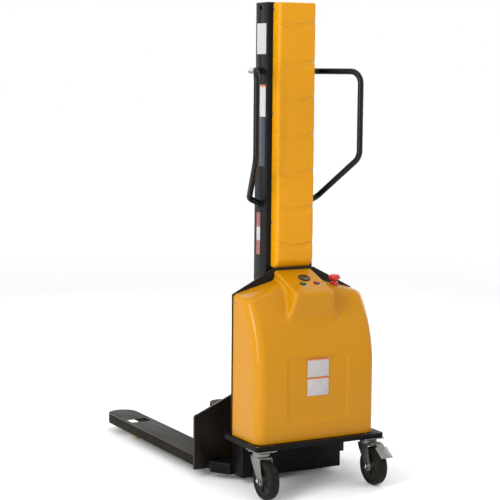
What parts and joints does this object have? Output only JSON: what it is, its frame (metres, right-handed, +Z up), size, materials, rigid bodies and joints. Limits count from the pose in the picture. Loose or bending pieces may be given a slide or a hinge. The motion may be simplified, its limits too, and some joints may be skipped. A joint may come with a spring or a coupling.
{
  "type": "battery powered self-lifting stacker",
  "caption": "Battery stacker with a fixed mast, a fork carriage that nests over straddle legs, a covered power pack on a deck, swivel casters and side handles.",
  "frame": {"origin": "centre of the bounding box on the floor the wheels stand on", "axes": "+Z up, +Y forward to the fork tips, +X to the operator's right"},
  "size_m": [0.747, 1.549, 2],
  "materials": {
    "black_paint": "satin",
    "mast_black": "satin",
    "carriage_black": "satin",
    "cover_yellow": "semi-gloss",
    "housing_yellow": "semi-gloss",
    "zinc": "bright zinc",
    "bright_steel": "ground",
    "battery_case": "matte",
    "motor_black": "satin",
    "tank_grey": "satin",
    "controller_aluminium": "anodised",
    "hose_rubber": "matte",
    "chain_steel": "oiled",
    "handle_black": "satin",
    "black_plastic": "matte",
    "lens": "clear",
    "red_plastic": "gloss",
    "green_plastic": "gloss",
    "label_film": "matte",
    "fork_grey": "worn satin",
    "bearing_steel": "ground",
    "rod_chrome": "polished",
    "hub_grey": "matte",
    "tyre_rubber": "matte",
    "poly_yellow": "satin"
  },
  "bodies": {
    "chassis": {"deck_plate": "black_paint", "base_riser": "black_paint", "leg_crossbeam": "black_paint", "leg_left": "black_paint", "leg_right": "black_paint", "load_axles": "bright_steel", "mast_channel_left": "mast_black", "mast_channel_right": "mast_black", "mast_ties": "mast_black", "backplate": "carriage_black", "mast_cover": "cover_yellow", "cover_screws": "zinc", "housing": "housing_yellow", "housing_screws": "zinc", "batteries": "battery_case", "equipment_shelf": "black_paint", "pump_motor": "motor_black", "reservoir": "tank_grey", "controller": "controller_aluminium", "cylinder_barrel": "motor_black", "pressure_hose": "hose_rubber", "rear_chain_anchors": "bright_steel", "chain_rear": "chain_steel", "handle_left": "handle_black", "handle_right": "handle_black", "gauge": "black_plastic", "gauge_lens": "lens", "control_collars": "black_plastic", "estop_collar": "red_plastic", "labels": "label_film", "caster_plates": "zinc", "caster_bolts": "zinc"},
    "carriage": {"carriage_plate": "carriage_black", "guide_posts": "black_paint", "roller_stubs": "bright_steel", "fork_left": "fork_grey", "fork_right": "fork_grey", "carriage_crossbar": "black_paint"},
    "crosshead": {"cylinder_rod": "rod_chrome", "crosshead": "black_paint", "chain_front": "chain_steel", "chain_wrap": "chain_steel"},
    "sheaves": {"chain_sheaves": "bearing_steel"},
    "caster_left": {"caster_fork_left": "zinc"},
    "caster_right": {"caster_fork_right": "zinc"},
    "wheel_left": {"wheel_hub_left": "hub_grey", "tyre_left": "tyre_rubber"},
    "wheel_right": {"wheel_hub_right": "hub_grey", "tyre_right": "tyre_rubber"},
    "pedal": {"brake_pedal": "zinc"},
    "load_roller_left": {"load_roller_left": "poly_yellow"},
    "load_roller_right": {"load_roller_right": "poly_yellow"},
    "raise_button": {"button_raise": "green_plastic"},
    "lower_button": {"button_lower": "red_plastic"},
    "estop_stem": {"estop_stem": "red_plastic"},
    "estop_cap": {"estop_cap": "red_plastic"},
    "guide_roller_upper_left": {"guide_roller_upper_left": "bearing_steel"},
    "guide_roller_upper_right": {"guide_roller_upper_right": "bearing_steel"},
    "guide_roller_lower_left": {"guide_roller_lower_left": "bearing_steel"},
    "guide_roller_lower_right": {"guide_roller_lower_right": "bearing_steel"}
  },
  "joints": [
    {"name": "fork_lift", "type": "slide", "parent": "chassis", "child": "carriage", "axis": [0, 0, 1], "range_m": [0, 1.5], "deforming": ["chain_front"]},
    {"name": "cylinder_stroke", "type": "slide", "parent": "chassis", "child": "crosshead", "axis": [0, 0, 1], "range_m": [0, 0.75], "deforming": ["chain_rear"]},
    {"name": "sheave_spin", "type": "hinge", "parent": "crosshead", "child": "sheaves", "pos_m": [0, -0.3465, 1.15], "axis": [1, 0, 0], "continuous": true},
    {"name": "guide_roller_upper_left_spin", "type": "hinge", "parent": "carriage", "child": "guide_roller_upper_left", "pos_m": [-0.0875, -0.3425, 0.35], "axis": [1, 0, 0], "continuous": true},
    {"name": "guide_roller_upper_right_spin", "type": "hinge", "parent": "carriage", "child": "guide_roller_upper_right", "pos_m": [0.0875, -0.3425, 0.35], "axis": [1, 0, 0], "continuous": true},
    {"name": "guide_roller_lower_left_spin", "type": "hinge", "parent": "carriage", "child": "guide_roller_lower_left", "pos_m": [-0.0875, -0.3425, 0.15], "axis": [1, 0, 0], "continuous": true},
    {"name": "guide_roller_lower_right_spin", "type": "hinge", "parent": "carriage", "child": "guide_roller_lower_right", "pos_m": [0.0875, -0.3425, 0.15], "axis": [1, 0, 0], "continuous": true},
    {"name": "caster_left_swivel", "type": "hinge", "parent": "chassis", "child": "caster_left", "pos_m": [-0.258, -0.6325, 0.177], "axis": [0, 0, 1], "continuous": true},
    {"name": "wheel_left_spin", "type": "hinge", "parent": "caster_left", "child": "wheel_left", "pos_m": [-0.258, -0.6755, 0.08], "axis": [1, 0, 0], "continuous": true},
    {"name": "load_roller_left_spin", "type": "hinge", "parent": "chassis", "child": "load_roller_left", "pos_m": [-0.271, 0.5155, 0.037], "axis": [1, 0, 0], "continuous": true},
    {"name": "caster_right_swivel", "type": "hinge", "parent": "chassis", "child": "caster_right", "pos_m": [0.258, -0.6325, 0.177], "axis": [0, 0, 1], "continuous": true},
    {"name": "wheel_right_spin", "type": "hinge", "parent": "caster_right", "child": "wheel_right", "pos_m": [0.258, -0.6755, 0.08], "axis": [1, 0, 0], "continuous": true},
    {"name": "load_roller_right_spin", "type": "hinge", "parent": "chassis", "child": "load_roller_right", "pos_m": [0.271, 0.5155, 0.037], "axis": [1, 0, 0], "continuous": true},
    {"name": "brake_pedal_press", "type": "hinge", "parent": "caster_right", "child": "pedal", "pos_m": [0.258, -0.6885, 0.174], "axis": [1, 0, 0], "range_deg": [0, 12]},
    {"name": "raise_button_press", "type": "slide", "parent": "chassis", "child": "raise_button", "axis": [0, 0.3584, -0.9336], "range_m": [0, 0.003], "stiffness_N_per_m": 500, "springref_m": -0.001},
    {"name": "lower_button_press", "type": "slide", "parent": "chassis", "child": "lower_button", "axis": [0, 0.3584, -0.9336], "range_m": [0, 0.003], "stiffness_N_per_m": 500, "springref_m": -0.001},
    {"name": "estop_press", "type": "slide", "parent": "chassis", "child": "estop_stem", "axis": [0, 0, -1], "range_m": [0, 0.005]},
    {"name": "estop_twist", "type": "hinge", "parent": "estop_stem", "child": "estop_cap", "pos_m": [0.163, -0.4945, 0.85879], "axis": [0, 0, -1], "range_deg": [0, 40], "stiffness_Nm_per_rad": 0.05}
  ],
  "couplings": [
    {"joint": "cylinder_stroke", "follows": "fork_lift", "ratio": 0.5},
    {"joint": "sheave_spin", "follows": "fork_lift", "rad_per_m": 13.889},
    {"joint": "guide_roller_upper_left_spin", "follows": "fork_lift", "rad_per_m": -25.189},
    {"joint": "guide_roller_upper_right_spin", "follows": "fork_lift", "rad_per_m": -25.189},
    {"joint": "guide_roller_lower_left_spin", "follows": "fork_lift", "rad_per_m": 25.189},
    {"joint": "guide_roller_lower_right_spin", "follows": "fork_lift", "rad_per_m": 25.189}
  ]
}
